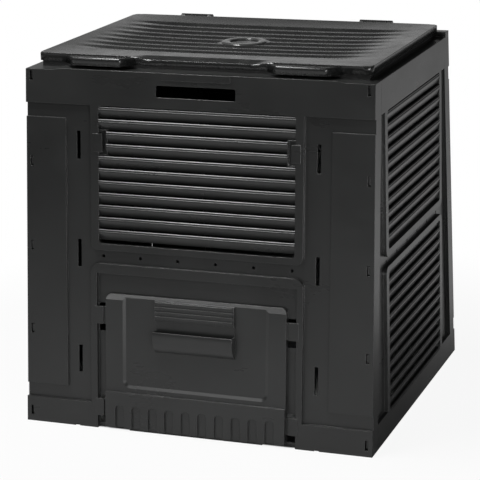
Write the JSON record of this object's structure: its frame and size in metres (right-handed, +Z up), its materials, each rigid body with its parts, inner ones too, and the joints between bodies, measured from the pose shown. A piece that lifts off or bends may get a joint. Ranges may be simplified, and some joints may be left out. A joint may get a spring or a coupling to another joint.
{
  "type": "compost bin with lid",
  "caption": "Garden compost bin with leaning louvred walls hooked together at the corners, a hinged ribbed lid and a lift-out hatch at the foot.",
  "frame": {"origin": "middle of the footprint, on the ground", "axes": "+X to the right seen from the front, -Y out of the front wall with the hatch, +Z up"},
  "size_m": [0.78, 0.7294, 0.798],
  "materials": {
    "wall_plastic": "fine moulded grain, satin black polypropylene",
    "lid_plastic": "fine moulded grain, a little glossier than the walls",
    "hatch_plastic": "fine moulded grain, satin black polypropylene",
    "pin_plastic": "smooth"
  },
  "bodies": {
    "bin": {"front_panel": "wall_plastic", "right_panel": "wall_plastic", "left_panel": "wall_plastic", "back_panel": "wall_plastic", "left_hinge_pin": "pin_plastic", "right_hinge_pin": "pin_plastic"},
    "lid": {"lid": "lid_plastic", "lid_badge": "lid_plastic"},
    "door": {"hatch_door": "hatch_plastic", "hatch_grip": "hatch_plastic"}
  },
  "joints": [
    {"name": "lid_hinge", "type": "hinge", "parent": "bin", "child": "lid", "pos_m": [0, 0.2855, 0.786], "axis": [-1, 0, 0], "range_deg": [0, 100]},
    {"name": "door_lift", "type": "slide", "parent": "bin", "child": "door", "axis": [0, 0.0764, 0.9971], "range_m": [0, 0.038]}
  ]
}
